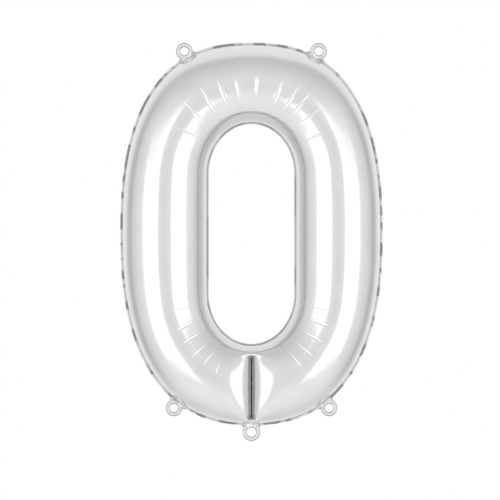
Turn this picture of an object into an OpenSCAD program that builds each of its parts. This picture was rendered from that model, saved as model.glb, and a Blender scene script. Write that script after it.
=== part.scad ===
// Air-filled foil number balloon, the figure nought.
// Two metallised films are sealed to each other round the outside, round the window in the
// middle and along one short cross weld, and five tabs with punched eyes stand off the rim.
// The figure stands in the XZ plane with its front towards -Y and its top towards +Z. The
// origin is the middle of the whole balloon's box, tabs included. All sizes are millimetres.

/* [Body] */
// Width of the figure over its sealed rim
body_w = 230.4; // [190:0.2:280]
// Height of the figure over its sealed rim
body_h = 335.6; // [280:0.2:410]
// Squareness of the outline above the middle, where 2 is an ellipse
top_squareness = 2.5; // [2.2:0.05:3]
// Squareness of the outline below the middle
bottom_squareness = 2.4; // [2.2:0.05:3]
// Depth of the filled tube as a share of its width
fullness = 0.97; // [0.7:0.01:1]

/* [Window] */
// Width of the window
window_w = 75.2; // [60:0.2:92]
// Height of the window
window_h = 193.2; // [160:0.2:232]
// Height of the window's round end
window_end_h = 44; // [30:1:60]

/* [Films and seals] */
// Thickness of one film
film_t = 0.1; // [0.06:0.01:0.2]
// Width of the seal round the outside
rim_seal_w = 1.8; // [1.2:0.1:3]
// Width of the seal round the window
window_seal_w = 1.4; // [1:0.1:2.5]

/* [Cross weld] */
// Width of the weld that ties the two films together under the window
weld_w = 3.2; // [2.4:0.2:6]
// Gas passage left between the window's edge and the weld
weld_top_gap = 11.6; // [8:0.2:16]
// Gas passage left between the weld and the bottom of the rim
weld_bottom_gap = 6.4; // [5:0.2:12]
// Distance from the weld over which the films swell back to full depth
pinch_reach = 17; // [10:1:25]

/* [Tabs] */
// Place of the two upper tabs, as an angle from the side (0) to the top (90)
upper_tab_angle = 65.8; // [55:0.1:75]
// Place of the two lower tabs, as an angle from the side (0) to the bottom (90)
lower_tab_angle = 59.8; // [50:0.1:70]
// Radius round the eye of each corner tab
tab_r = 7.25; // [6:0.05:9]
// Distance from the rim to the middle of a corner tab's eye
tab_reach = 5.2; // [5:0.1:8]
// Radius of a corner tab's eye
eye_r = 3.7; // [2.5:0.05:4.6]
// Radius round the eye of the tab at the bottom centre
centre_tab_r = 7.7; // [6:0.05:9]
// Distance from the rim to the middle of the bottom centre tab's eye
centre_tab_reach = 6.2; // [5.4:0.1:8]
// Radius of the bottom centre tab's eye
centre_eye_r = 4.15; // [2.5:0.05:4.6]
// How far the foot of a tab spreads past its round end on each side
foot_flare = 3.4; // [1:0.1:5]
// Clear gap between the rim and a tab's foot, where the film folds
fold_gap = 0.4; // [0.3:0.05:0.8]

/* [Valve] */
// Width of the two thin films of the self-closing valve
valve_w = 14; // [10:0.5:18]
// Length of the valve from the rim inwards
valve_len = 60; // [40:1:70]
// Thickness of one valve film
valve_film_t = 0.04; // [0.02:0.01:0.05]

/* [Hidden] */
$fn = 64;

quarter_steps = 24;      // columns of film facets in a quarter of the figure
tube_steps = 12;         // facets from the window's seal to the rim's seal
arc_steps = 28;          // facets round the end of a tab
foot_steps = 6;          // facets along each side of a tab's foot
straight_share = 0.36;   // part of a quarter's columns beside the window's straight side
fan_start_angle = 16;    // rim angle level with the end of the window's straight side
seal_half_t = film_t;    // two films, one on each side of the middle plane
window_straight = window_h / 2 - window_end_h;
corner_radius_share = 0.25;  // rounding of the valve's inner end, as a share of its width

foil = [0.80, 0.81, 0.83];
seal_grey = [0.66, 0.67, 0.69];
valve_clear = [0.88, 0.90, 0.92];

// ---- Outlines, as [x, z] points in the middle plane, measured from the figure's middle ----

function squareness(z_sign) = z_sign > 0 ? top_squareness : bottom_squareness;

// A point of the rim's outline moved in by inset, at an angle from the side, in one quadrant
function rim_point(angle, inset, x_sign, z_sign) =
    let (power = 2 / squareness(z_sign))
    [x_sign * (body_w / 2 - inset) * pow(max(cos(angle), 0), power),
     z_sign * (body_h / 2 - inset) * pow(max(sin(angle), 0), power)];

// The rim's angle at a height above the middle
function rim_angle(height, z_sign) =
    asin(pow(height / (body_h / 2), squareness(z_sign) / 2));

// Outward direction of the rim at a point of its outline
function rim_normal(point, z_sign) =
    let (
        n = squareness(z_sign),
        slope = [sign(point[0]) * pow(abs(point[0]), n - 1) / pow(body_w / 2, n),
                 sign(point[1]) * pow(abs(point[1]), n - 1) / pow(body_h / 2, n)]
    )
    slope / norm(slope);

// A point of the window's outline grown by outset: a straight side, then a half ellipse
function window_point(share, outset, x_sign, z_sign) =
    let (round_angle = 90 * max(share - straight_share, 0) / (1 - straight_share))
    [x_sign * (window_w / 2 + outset) * cos(round_angle),
     z_sign * (window_straight * min(share / straight_share, 1)
               + (window_end_h + outset) * sin(round_angle))];

// The rim's angle that belongs to a share of the quarter, so that columns fan out evenly
function fan_angle(share, z_sign) =
    let (start_height = body_h / 2 * pow(sin(fan_start_angle), 2 / squareness(z_sign)))
    share < straight_share
        ? rim_angle(start_height * share / straight_share, z_sign)
        : fan_start_angle + (90 - fan_start_angle) * (share - straight_share) / (1 - straight_share);

// Points on the bottom of both outlines straight below x, for the columns beside the weld
function rim_below(x, inset) =
    let (n = bottom_squareness)
    [x, -(body_h / 2 - inset) * pow(1 - pow(abs(x) / (body_w / 2 - inset), n), 1 / n)];
function window_below(x, outset) =
    [x, -window_straight - (window_end_h + outset) * sqrt(1 - pow(x / (window_w / 2 + outset), 2))];

// One column of film: its place on the window's outline and on the rim's outline
function column(share, at, x_sign, z_sign) =
    [window_point(share, at[0], x_sign, z_sign),
     rim_point(fan_angle(share, z_sign), at[1], x_sign, z_sign)];

// All columns round the figure from the right-hand side by way of the top. at holds how far
// the ends lie from the window's edge and from the rim's edge.
function columns(at) = [
    for (i = [0 : quarter_steps]) column(i / quarter_steps, at, 1, 1),
    for (i = [quarter_steps - 1 : -1 : 0]) column(i / quarter_steps, at, -1, 1),
    for (i = [1 : quarter_steps - 1]) column(i / quarter_steps, at, -1, -1),
    for (x = [-weld_w / 2, weld_w / 2]) [window_below(x, at[0]), rim_below(x, at[1])],
    for (i = [quarter_steps - 1 : -1 : 1]) column(i / quarter_steps, at, 1, -1)
];

weld_top = window_below(0, 0)[1] - weld_top_gap;
weld_bottom = rim_below(0, 0)[1] + weld_bottom_gap;

// ---- Where the tabs stand ----

// A tab is [foot on the rim, outward direction, end radius, reach, eye radius]
function corner_tab(angle, x_sign, z_sign) =
    let (foot = rim_point(angle, 0, x_sign, z_sign))
    [foot, rim_normal(foot, z_sign), tab_r, tab_reach, eye_r];

top_left = corner_tab(upper_tab_angle, -1, 1);
top_right = corner_tab(upper_tab_angle, 1, 1);
bottom_left = corner_tab(lower_tab_angle, -1, -1);
bottom_right = corner_tab(lower_tab_angle, 1, -1);
bottom_centre = [rim_below(0, 0), [0, -1], centre_tab_r, centre_tab_reach, centre_eye_r];

function eye_centre(tab) = tab[0] + tab[1] * tab[3];

// Heights of the whole balloon above and below the figure's middle
top_z = max(body_h / 2, eye_centre(top_right)[1] + tab_r);
bottom_z = min(eye_centre(bottom_centre)[1] - centre_tab_r, eye_centre(bottom_right)[1] - tab_r);
middle_z = -(top_z + bottom_z) / 2;

// ---- Placing ----

// Stands a flat outline up in the middle plane, with its thickness shared front and back
module upright(thickness) {
    translate([0, 0, middle_z])
        rotate([90, 0, 0])
            linear_extrude(height = thickness, center = true)
                children();
}

// Turns a drawing so that its +Y points away from the rim at a tab's foot
module at_rim(tab) {
    translate(tab[0])
        rotate([0, 0, atan2(tab[1][1], tab[1][0]) - 90])
            children();
}

// ---- Films ----

// 0 along the cross weld, rising to 1 well away from it
function swell(point) =
    let (
        below = max(weld_bottom - point[1], 0),
        above = max(point[1] - weld_top, 0),
        away = norm([point[0], below + above]) - weld_w / 2
    )
    sqrt(1 - exp(-pow(max(away, 0) / pinch_reach, 2)));

// One side of the film: rings of points from the window's seal to the rim's seal. inward is
// how far this side lies inside the film's outer side.
function film_points(inward) =
    let (lines = columns([window_seal_w + inward, rim_seal_w + inward]))
    [for (line = lines)
        for (k = [0 : tube_steps])
            let (
                turn = 180 * k / tube_steps,
                place = line[0] + (line[1] - line[0]) * (1 - cos(turn)) / 2,
                depth = fullness * (norm(line[1] - line[0]) / 2 - film_t + inward),
                stand = depth * swell(place) + film_t - inward
            )
            [place[0], -seal_half_t - stand * sin(turn), place[1]]];

ring = tube_steps + 1;
column_count = len(columns([0, 0]));

// Index of a film point: side 0 is the outer side, side 1 the inner side
function film_index(side, c, k) = side * column_count * ring + (c % column_count) * ring + k;

film_faces = [
    for (c = [0 : column_count - 1])
        for (k = [0 : tube_steps - 1])
            for (side = [0, 1])
                let (
                    a = film_index(side, c, k),
                    b = film_index(side, c + 1, k),
                    d = film_index(side, c + 1, k + 1),
                    e = film_index(side, c, k + 1)
                )
                each side == 0 ? [[a, b, d], [a, d, e]] : [[a, d, b], [a, e, d]],
    for (c = [0 : column_count - 1])
        for (k = [0, tube_steps])
            let (
                a = film_index(0, c, k),
                b = film_index(0, c + 1, k),
                d = film_index(1, c + 1, k),
                e = film_index(1, c, k)
            )
            each k == 0 ? [[a, d, b], [a, e, d]] : [[a, b, d], [a, d, e]]
];

module film_panel() {
    translate([0, 0, middle_z])
        polyhedron(points = concat(film_points(0), film_points(film_t)), faces = film_faces);
}

module front_panel() {
    color(foil) film_panel();
}

module back_panel() {
    color(foil) mirror([0, 1, 0]) film_panel();
}

// ---- Seals: bands where both films are one ----

// The band between two closed outlines with the same number of points
module band(outer, inner) {
    last = len(outer) - 1;
    polygon(
        points = concat(outer, inner),
        paths = [[for (i = [0 : last]) i], [for (i = [0 : last]) i + last + 1]]
    );
}

module outer_rim_seal() {
    rim = [for (line = columns([0, 0])) line[1]];
    inside = [for (line = columns([0, rim_seal_w + film_t])) line[1]];
    color(seal_grey)
        difference() {
            upright(2 * seal_half_t) band(rim, inside);
            upright(2 * valve_film_t) valve_outline(extra = rim_seal_w);
        }
}

module window_seal() {
    edge = [for (line = columns([0, 0])) line[0]];
    outside = [for (line = columns([window_seal_w + film_t, 0])) line[0]];
    color(seal_grey) upright(2 * seal_half_t) band(outside, edge);
}

module cross_weld() {
    weld_h = weld_top - weld_bottom;
    color(seal_grey)
        upright(2 * seal_half_t)
            translate([-weld_w / 2, weld_bottom])
                square([weld_w, weld_h]);
}

// ---- Tabs ----

// Outline of a tab with its foot at the origin: a flared foot and a round end
module tab_outline(end_r, reach) {
    side = [for (i = [0 : foot_steps - 1])
        let (rise = i / foot_steps)
        [end_r + foot_flare * pow(1 - rise, 2), fold_gap + (reach - fold_gap) * rise]];
    end = [for (i = [0 : arc_steps])
        let (turn = 180 * i / arc_steps)
        [end_r * cos(turn), reach + end_r * sin(turn)]];
    far_side = [for (i = [foot_steps - 1 : -1 : 0]) [-side[i][0], side[i][1]]];
    polygon(concat(side, end, far_side));
}

module tab(place) {
    eye = eye_centre(place);
    color(foil)
        difference() {
            upright(2 * seal_half_t) at_rim(place) tab_outline(place[2], place[3]);
            translate([eye[0], 0, eye[1] + middle_z])
                rotate([90, 0, 0])
                    cylinder(r = place[4], h = 1, center = true);
        }
}

module tab_top_left() { tab(top_left); }
module tab_top_right() { tab(top_right); }
module tab_bottom_left() { tab(bottom_left); }
module tab_bottom_right() { tab(bottom_right); }
module tab_bottom_centre() { tab(bottom_centre); }

// ---- Self-closing valve: two thin films between the panels, from the lower right rim ----

// Its outer end stops just inside the rim's edge, or runs on by extra to cut its slot
module valve_outline(extra = 0) {
    corner = valve_w * corner_radius_share;
    end = extra > 0 ? extra : -fold_gap;
    at_rim(bottom_right)
        polygon([
            [-valve_w / 2, end],
            [-valve_w / 2, corner - valve_len],
            [corner - valve_w / 2, -valve_len],
            [valve_w / 2 - corner, -valve_len],
            [valve_w / 2, corner - valve_len],
            [valve_w / 2, end]
        ]);
}

module valve_film(side) {
    color(valve_clear)
        translate([0, side * valve_film_t / 2, 0])
            upright(valve_film_t) valve_outline();
}

module valve_front_film() { valve_film(-1); }
module valve_back_film() { valve_film(1); }

front_panel();
back_panel();
outer_rim_seal();
window_seal();
cross_weld();
tab_top_left();
tab_top_right();
tab_bottom_left();
tab_bottom_right();
tab_bottom_centre();
valve_front_film();
valve_back_film();
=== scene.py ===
"""Silver foil number balloon, a nought: two films, heat seals, a cross weld, hanging tabs and a valve."""
import logging
import math
from collections.abc import Sequence
from dataclasses import dataclass
from enum import Enum

import bmesh
import bpy
import numpy as np
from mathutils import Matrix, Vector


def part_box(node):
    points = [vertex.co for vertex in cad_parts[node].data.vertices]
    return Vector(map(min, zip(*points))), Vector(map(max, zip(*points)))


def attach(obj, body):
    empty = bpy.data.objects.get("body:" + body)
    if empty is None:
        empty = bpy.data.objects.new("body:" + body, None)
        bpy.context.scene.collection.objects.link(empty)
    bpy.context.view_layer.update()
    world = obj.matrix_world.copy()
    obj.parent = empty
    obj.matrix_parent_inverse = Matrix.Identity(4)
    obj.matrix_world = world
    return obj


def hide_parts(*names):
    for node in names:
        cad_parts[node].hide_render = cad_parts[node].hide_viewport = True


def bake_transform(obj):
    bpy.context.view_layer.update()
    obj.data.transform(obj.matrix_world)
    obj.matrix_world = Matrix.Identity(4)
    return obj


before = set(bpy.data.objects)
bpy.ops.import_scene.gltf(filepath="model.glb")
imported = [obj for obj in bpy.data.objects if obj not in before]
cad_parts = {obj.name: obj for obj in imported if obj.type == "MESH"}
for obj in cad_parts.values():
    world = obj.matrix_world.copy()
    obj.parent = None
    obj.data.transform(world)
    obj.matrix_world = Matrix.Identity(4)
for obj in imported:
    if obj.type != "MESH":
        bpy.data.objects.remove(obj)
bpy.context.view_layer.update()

log = logging.getLogger("foil_nought")

MM = 0.001
ROOT = "root"


class Slot(Enum):
    """Material slots of the record."""

    FOIL = "foil"
    HEAT_SEAL = "heat_seal"
    TAB_FOIL = "tab_foil"
    VALVE_FILM = "valve_film"


class Side(Enum):
    """The two sides of the balloon, with the sign of Y that each faces."""

    FRONT = -1.0
    BACK = 1.0


class Corner(Enum):
    """The four rounded corners of the figure, as signs of x and z."""

    TOP_RIGHT = (1, 1)
    TOP_LEFT = (-1, 1)
    BOTTOM_LEFT = (-1, -1)
    BOTTOM_RIGHT = (1, -1)


# ---------------------------------------------------------------------------
# Node building
# ---------------------------------------------------------------------------


class NodeBench:
    """Adds and links nodes in one node tree with few words."""

    def __init__(self, tree: bpy.types.NodeTree) -> None:
        """Takes hold of a tree.

        Args:
            tree: Shader, world or geometry node tree to build in.
        """
        self.tree = tree

    def add(self, kind: str, /, inputs: dict | None = None, **settings: object) -> bpy.types.Node:
        """Adds one node.

        Args:
            kind: Blender's node type name.
            inputs: Values or output sockets by input name or number.
            **settings: Properties set on the node itself, before its inputs.

        Returns:
            The new node.
        """
        node = self.tree.nodes.new(kind)
        for name, value in settings.items():
            setattr(node, name, value)
        for key, value in (inputs or {}).items():
            socket = node.inputs[key]
            if isinstance(value, bpy.types.NodeSocket):
                self.tree.links.new(value, socket)
            else:
                socket.default_value = value
        return node

    def math(self, operation: str, *values: object, clamp: bool = False) -> bpy.types.NodeSocket:
        """One Math node, as its output socket.

        Args:
            operation: Blender's name of the operation.
            *values: Numbers or sockets for its inputs.
            clamp: Whether the result is kept from 0 to 1.

        Returns:
            The node's output.
        """
        node = self.add("ShaderNodeMath", dict(enumerate(values)), operation=operation, use_clamp=clamp)
        return node.outputs[0]

    def spread(self, value: object, low: float, high: float, new_low: float, new_high: float,
               smooth: bool = False) -> bpy.types.NodeSocket:
        """A Map Range node, as its output socket.

        Args:
            value: Number or socket to map.
            low: Start of the range it comes from.
            high: End of the range it comes from.
            new_low: What low becomes.
            new_high: What high becomes.
            smooth: Whether the step is eased at both ends.

        Returns:
            The node's output.
        """
        node = self.add("ShaderNodeMapRange", {0: value, 1: low, 2: high, 3: new_low, 4: new_high},
                        interpolation_type="SMOOTHSTEP" if smooth else "LINEAR")
        return node.outputs[0]

    def group(self, tree: bpy.types.NodeTree, **inputs: object) -> bpy.types.Node:
        """Places a node group.

        Args:
            tree: The group's tree.
            **inputs: Values or sockets by input name, with underscores for spaces.

        Returns:
            The group node.
        """
        named = {name.replace("_", " "): value for name, value in inputs.items()}
        return self.add("ShaderNodeGroup", named, node_tree=tree)

    def link(self, source: bpy.types.NodeSocket, target: bpy.types.NodeSocket) -> None:
        """Joins an output to an input."""
        self.tree.links.new(source, target)

    def surface_value(self, name: str) -> bpy.types.NodeSocket:
        """A shader's reading of one of the piece's attributes."""
        return self.add("ShaderNodeAttribute", attribute_name=name).outputs["Fac"]

    def point_value(self, name: str) -> bpy.types.NodeSocket:
        """A geometry tree's reading of one of the piece's attributes."""
        return self.add("GeometryNodeInputNamedAttribute", {"Name": name}, data_type="FLOAT").outputs[0]

    def vector(self, *parts: object) -> bpy.types.NodeSocket:
        """A vector of up to three numbers or sockets."""
        return self.add("ShaderNodeCombineXYZ", dict(enumerate(parts))).outputs[0]

    def noise(self, place: object, scale: float, detail: float, **inputs: float) -> bpy.types.NodeSocket:
        """Noise from 0 to 1 at a place, by the number of waves in a metre."""
        return self.add("ShaderNodeTexNoise",
                        {"Vector": place, "Scale": scale, "Detail": detail, **inputs}).outputs[0]

    def mix_colour(self, share: bpy.types.NodeSocket, first: object, second: object) -> bpy.types.NodeSocket:
        """Goes from one colour to another.

        Args:
            share: Share of the second colour.
            first: Colour or socket at 0.
            second: Colour or socket at 1.

        Returns:
            The colour.
        """
        start, end = ((*part, 1.0) if isinstance(part, tuple) else part for part in (first, second))
        node = self.add("ShaderNodeMix", {"Factor": share, "A": start, "B": end}, data_type="RGBA")
        return node.outputs["Result"]

    def bump(self, height: bpy.types.NodeSocket, depth: float, **inputs: object) -> bpy.types.NodeSocket:
        """A Bump node of a depth in metres, as its normal."""
        settings = {"Height": height, "Distance": depth, "Strength": 1.0, **inputs}
        return self.add("ShaderNodeBump", settings).outputs[0]

    def move(self, geometry: bpy.types.NodeSocket, offset: bpy.types.NodeSocket) -> bpy.types.NodeSocket:
        """Moves a geometry's points by an offset."""
        return self.add("GeometryNodeSetPosition", {"Geometry": geometry, "Offset": offset}).outputs[0]


def new_group(name: str, kind: str, takes: Sequence[tuple], gives: Sequence[tuple]) -> bpy.types.NodeTree:
    """Makes an empty node group with its sockets.

    Args:
        name: Name of the group.
        kind: "ShaderNodeTree" or "GeometryNodeTree".
        takes: Input sockets, each (name, socket type) or (name, socket type, default).
        gives: Output sockets, each (name, socket type).

    Returns:
        The group's tree.
    """
    tree = bpy.data.node_groups.new(name, kind)
    for label, socket_type, *default in takes:
        socket = tree.interface.new_socket(name=label, in_out="INPUT", socket_type=socket_type)
        if default:
            socket.default_value = default[0]
    for label, socket_type in gives:
        tree.interface.new_socket(name=label, in_out="OUTPUT", socket_type=socket_type)
    return tree


# ---------------------------------------------------------------------------
# Shared surface effects
# ---------------------------------------------------------------------------


DRAW_LINE_WAVES = (240.0, 240.0, 26.0)
DRAW_LINE_SHARE = 0.35
MOTTLE_WAVES = 55.0
GRIME_WAVES = 160.0


class SurfaceEffects:
    """Shader node groups that more than one finish uses, each built once."""

    def __init__(self) -> None:
        """Builds the groups."""
        self.film_grain = self._film_grain()
        self.seal_crimp = self._seal_crimp()

    @staticmethod
    def _film_grain() -> bpy.types.NodeTree:
        """Rolled film's fine grain: faint draw lines, soft mottling and small scuffs.

        Returns:
            A group that takes Position and Scale and gives Height and Mottle.
        """
        tree = new_group(
            "film_grain", "ShaderNodeTree",
            [("Position", "NodeSocketVector"), ("Scale", "NodeSocketFloat", 1.0)],
            [("Height", "NodeSocketFloat"), ("Mottle", "NodeSocketFloat")],
        )
        bench = NodeBench(tree)
        source = bench.add("NodeGroupInput")
        sink = bench.add("NodeGroupOutput")
        sized = {0: source.outputs["Position"], "Scale": source.outputs["Scale"]}
        place = bench.add("ShaderNodeVectorMath", sized, operation="SCALE").outputs[0]
        drawn = bench.add("ShaderNodeMapping", {"Vector": place, "Scale": DRAW_LINE_WAVES}).outputs[0]
        lines = bench.noise(drawn, 1.0, 2.0)
        soft = bench.noise(place, MOTTLE_WAVES, 3.0)
        height = bench.math("ADD", bench.math("MULTIPLY", lines, DRAW_LINE_SHARE),
                            bench.math("MULTIPLY", soft, 1.0 - DRAW_LINE_SHARE))
        bench.link(height, sink.inputs["Height"])
        bench.link(soft, sink.inputs["Mottle"])
        return tree

    @staticmethod
    def _seal_crimp() -> bpy.types.NodeTree:
        """The fine waffle that a hot sealing bar presses into film.

        Returns:
            A group that takes Position and Pitch and gives Height and Grime.
        """
        tree = new_group(
            "seal_crimp", "ShaderNodeTree",
            [("Position", "NodeSocketVector"), ("Pitch", "NodeSocketFloat", 0.0007)],
            [("Height", "NodeSocketFloat"), ("Grime", "NodeSocketFloat")],
        )
        bench = NodeBench(tree)
        source = bench.add("NodeGroupInput")
        sink = bench.add("NodeGroupOutput")
        part = bench.add("ShaderNodeSeparateXYZ", {0: source.outputs["Position"]}).outputs
        rate = bench.math("DIVIDE", math.tau, source.outputs["Pitch"])
        rising = bench.math("SINE", bench.math("MULTIPLY", bench.math("ADD", part[0], part[2]), rate))
        falling = bench.math("SINE", bench.math("MULTIPLY", bench.math("SUBTRACT", part[0], part[2]), rate))
        waffle = bench.math("MULTIPLY_ADD", bench.math("MULTIPLY", rising, falling), 0.5, 0.5)
        grime = bench.noise(source.outputs["Position"], GRIME_WAVES, 2.0)
        bench.link(waffle, sink.inputs["Height"])
        bench.link(grime, sink.inputs["Grime"])
        return tree


# ---------------------------------------------------------------------------
# Finishes
# ---------------------------------------------------------------------------


def new_material(name: str) -> tuple[bpy.types.Material, NodeBench, bpy.types.Node]:
    """An empty node material with its Principled shader.

    Args:
        name: Name of the material.

    Returns:
        The material, its bench and its Principled shader node.
    """
    material = bpy.data.materials.new(name)
    material.use_nodes = True
    bench = NodeBench(material.node_tree)
    material.node_tree.nodes.clear()
    shader = bench.add("ShaderNodeBsdfPrincipled")
    bench.add("ShaderNodeOutputMaterial", {"Surface": shader.outputs[0]})
    return material, bench, shader


@dataclass(frozen=True)
class FoilFinish:
    """Bright metallised film."""

    name: str = "silver_film"
    colour: tuple[float, float, float] = (0.917, 0.912, 0.915)
    dull_colour: tuple[float, float, float] = (0.890, 0.885, 0.888)
    # Dark colour mixed in by the piece's shade attribute: painted shade, standing in for dark reflections and
    # shadows at the film's hem and the tabs' edges.
    painted_shade_colour: tuple[float, float, float] = (0.36, 0.355, 0.36)
    roughness: float = 0.055
    dull_roughness: float = 0.085
    crinkle_roughness: float = 0.55
    crinkle_scuff: float = 0.9
    grain_depth: float = 0.000012
    pleat_depth: float = 0.0001
    pleat_waves: float = 620.0

    def make(self, effects: SurfaceEffects) -> bpy.types.Material:
        """Builds the material: mirror film with faint grain, painted shade where the piece's shade attribute
        is set, and fine pleats where it gathers.

        Args:
            effects: The shared groups.

        Returns:
            The material.
        """
        material, bench, shader = new_material(self.name)
        place = bench.add("ShaderNodeTexCoord").outputs["Object"]
        grain = bench.group(effects.film_grain, Position=place, Scale=1.0)
        mottle = bench.spread(grain.outputs["Mottle"], 0.35, 0.65, 0.0, 1.0)
        tone = bench.mix_colour(mottle, self.colour, self.dull_colour)
        # Painted shade: darkens the colour where the piece's shade attribute is set, in place of dark
        # reflections and shadows.
        with_painted_shade = bench.mix_colour(bench.surface_value("painted_shade"), tone, self.painted_shade_colour)
        bench.link(with_painted_shade, shader.inputs["Base Color"])
        rough = bench.spread(grain.outputs["Mottle"], 0.3, 0.7, self.roughness, self.dull_roughness)
        crinkle = bench.surface_value("crinkle")
        rough = bench.math("MULTIPLY_ADD", crinkle, self.crinkle_roughness, rough)
        bench.link(rough, shader.inputs["Roughness"])
        shine = bench.math("MULTIPLY_ADD", crinkle, -self.crinkle_scuff, 1.0)
        bench.link(shine, shader.inputs["Metallic"])
        fine = bench.bump(grain.outputs["Height"], self.grain_depth)
        bench.link(bench.bump(self._pleats(bench), self.pleat_depth, Normal=fine), shader.inputs["Normal"])
        return material

    def _pleats(self, bench: NodeBench) -> bpy.types.NodeSocket:
        """Fine pleats across the film's length, strongest where the gather attribute is 1.

        Args:
            bench: Bench of the material.

        Returns:
            The pleats' height.
        """
        place = bench.vector(bench.math("MULTIPLY", bench.surface_value("along"), self.pleat_waves),
                             bench.math("MULTIPLY", bench.surface_value("across"), 5.0))
        noise = bench.noise(place, 1.0, 1.5, Roughness=0.55)
        return bench.math("MULTIPLY", noise, bench.surface_value("gather"))


@dataclass(frozen=True)
class SealFinish:
    """Film that a hot bar has fused: duller, with a pressed waffle."""

    name: str = "fused_seal"
    colour: tuple[float, float, float] = (0.86, 0.855, 0.86)
    # Darker colour of the painted reflection patches.
    painted_reflection_dark_colour: tuple[float, float, float] = (0.37, 0.365, 0.37)
    roughness: float = 0.22
    crimp_pitch: float = 0.0007
    crimp_depth: float = 0.000012
    patch_scale: float = 80.0
    patch_low: float = 0.43
    patch_high: float = 0.53

    def make(self, effects: SurfaceEffects) -> bpy.types.Material:
        """Builds the material: a dull metal with darker stretches painted on, standing in for the dark
        reflections of a puckered band.

        Args:
            effects: The shared groups.

        Returns:
            The material.
        """
        material, bench, shader = new_material(self.name)
        place = bench.add("ShaderNodeTexCoord").outputs["Object"]
        crimp = bench.group(effects.seal_crimp, Position=place, Pitch=self.crimp_pitch)
        # Painted reflection: noise patches of darker colour stand in for the dark dashes that a rippled band
        # reflects.
        painted_reflection_patch = bench.noise(place, self.patch_scale, 1.0)
        share = bench.spread(painted_reflection_patch, self.patch_low, self.patch_high, 0.0, 1.0, smooth=True)
        bench.link(bench.mix_colour(share, self.painted_reflection_dark_colour, self.colour), shader.inputs["Base Color"])
        rough = bench.spread(crimp.outputs["Grime"], 0.3, 0.7, self.roughness, self.roughness * 1.6)
        bench.link(rough, shader.inputs["Roughness"])
        shader.inputs["Metallic"].default_value = 1.0
        bench.link(bench.bump(crimp.outputs["Height"], self.crimp_depth), shader.inputs["Normal"])
        return material


@dataclass(frozen=True)
class ValveFinish:
    """Thin clear plastic film with a faint milky print on it."""

    name: str = "valve_plastic"
    colour: tuple[float, float, float] = (0.80, 0.84, 0.88)
    print_colour: tuple[float, float, float] = (0.62, 0.70, 0.80)
    roughness: float = 0.28
    grain_depth: float = 0.00002

    def make(self, effects: SurfaceEffects) -> bpy.types.Material:
        """Builds the material.

        Args:
            effects: The shared groups.

        Returns:
            The material.
        """
        material, bench, shader = new_material(self.name)
        place = bench.add("ShaderNodeTexCoord").outputs["Object"]
        grain = bench.group(effects.film_grain, Position=place, Scale=2.0)
        printed = bench.spread(grain.outputs["Mottle"], 0.45, 0.6, 0.0, 1.0)
        tone = bench.mix_colour(printed, self.colour, self.print_colour)
        bench.link(tone, shader.inputs["Base Color"])
        shader.inputs["Roughness"].default_value = self.roughness
        bench.link(bench.bump(grain.outputs["Height"], self.grain_depth), shader.inputs["Normal"])
        return material


@dataclass(frozen=True)
class FloorFinish:
    """Plain pale matt floor."""

    name: str = "pale_floor"
    colour: tuple[float, float, float] = (0.93, 0.93, 0.93)
    roughness: float = 0.75
    unevenness: float = 0.985

    def make(self) -> bpy.types.Material:
        """Builds the material, with a breath of unevenness.

        Returns:
            The material.
        """
        material, bench, shader = new_material(self.name)
        place = bench.add("ShaderNodeTexCoord").outputs["Object"]
        cloud = bench.noise(place, 3.0, 2.0)
        shaded = tuple(part * self.unevenness for part in self.colour)
        bench.link(bench.mix_colour(cloud, self.colour, shaded), shader.inputs["Base Color"])
        shader.inputs["Roughness"].default_value = self.roughness
        return material


# ---------------------------------------------------------------------------
# Mesh helpers
# ---------------------------------------------------------------------------


def new_mesh_object(name: str, points: np.ndarray, faces: np.ndarray | Sequence,
                    edges: Sequence = ()) -> bpy.types.Object:
    """Makes a smooth-shaded mesh object in the scene.

    Args:
        name: Name of the object and its mesh.
        points: Vertex places, one row each, in metres.
        faces: Vertex numbers of each face.
        edges: Vertex numbers of each loose edge.

    Returns:
        The object.
    """
    mesh = bpy.data.meshes.new(name)
    mesh.from_pydata(np.asarray(points, float).tolist(), [list(map(int, edge)) for edge in edges],
                     np.asarray(faces, int).tolist() if len(faces) else [])
    mesh.validate()
    mesh.shade_smooth()
    made = bpy.data.objects.new(name, mesh)
    bpy.context.scene.collection.objects.link(made)
    return made


def set_attribute(mesh: bpy.types.Mesh, name: str, values: np.ndarray) -> None:
    """Stores one number for each vertex.

    Args:
        mesh: Mesh to write on.
        name: Name of the attribute.
        values: One number for each vertex.
    """
    attribute = mesh.attributes.new(name, "FLOAT", "POINT")
    attribute.data.foreach_set("value", np.asarray(values, np.float32).ravel())


def grid_faces(columns: int, rows: int, closed: bool, flip: bool, first: int = 0) -> np.ndarray:
    """Quads of a grid whose vertices are numbered row by row within each column.

    Args:
        columns: Number of columns.
        rows: Number of vertices in a column.
        closed: Whether the last column joins the first.
        flip: Whether the faces are turned over.
        first: Number of the grid's first vertex.

    Returns:
        Vertex numbers of each quad.
    """
    last = columns if closed else columns - 1
    c, k = np.meshgrid(np.arange(last), np.arange(rows - 1), indexing="ij")
    d = (c + 1) % columns
    quads = np.stack([c * rows + k, d * rows + k, d * rows + k + 1, c * rows + k + 1], axis=-1).reshape(-1, 4)
    return (quads[:, ::-1] if flip else quads) + first


def smooth_step(value: np.ndarray) -> np.ndarray:
    """0 below 0, 1 above 1, eased between."""
    t = np.clip(value, 0.0, 1.0)
    return t * t * (3.0 - 2.0 * t)


def smooth_round(values: np.ndarray, step: float, reach: float) -> np.ndarray:
    """Smooths numbers that run round a closed loop.

    Args:
        values: Numbers at even steps, the loop along the first axis.
        step: Distance between samples.
        reach: Standard deviation of the blur.

    Returns:
        The smoothed numbers.
    """
    count = values.shape[0]
    rate = np.fft.rfftfreq(count, d=step)
    damp = np.exp(-2.0 * (math.pi * rate * reach) ** 2)
    shape = (len(damp),) + (1,) * (values.ndim - 1)
    return np.fft.irfft(np.fft.rfft(values, axis=0) * damp.reshape(shape), n=count, axis=0)


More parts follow.
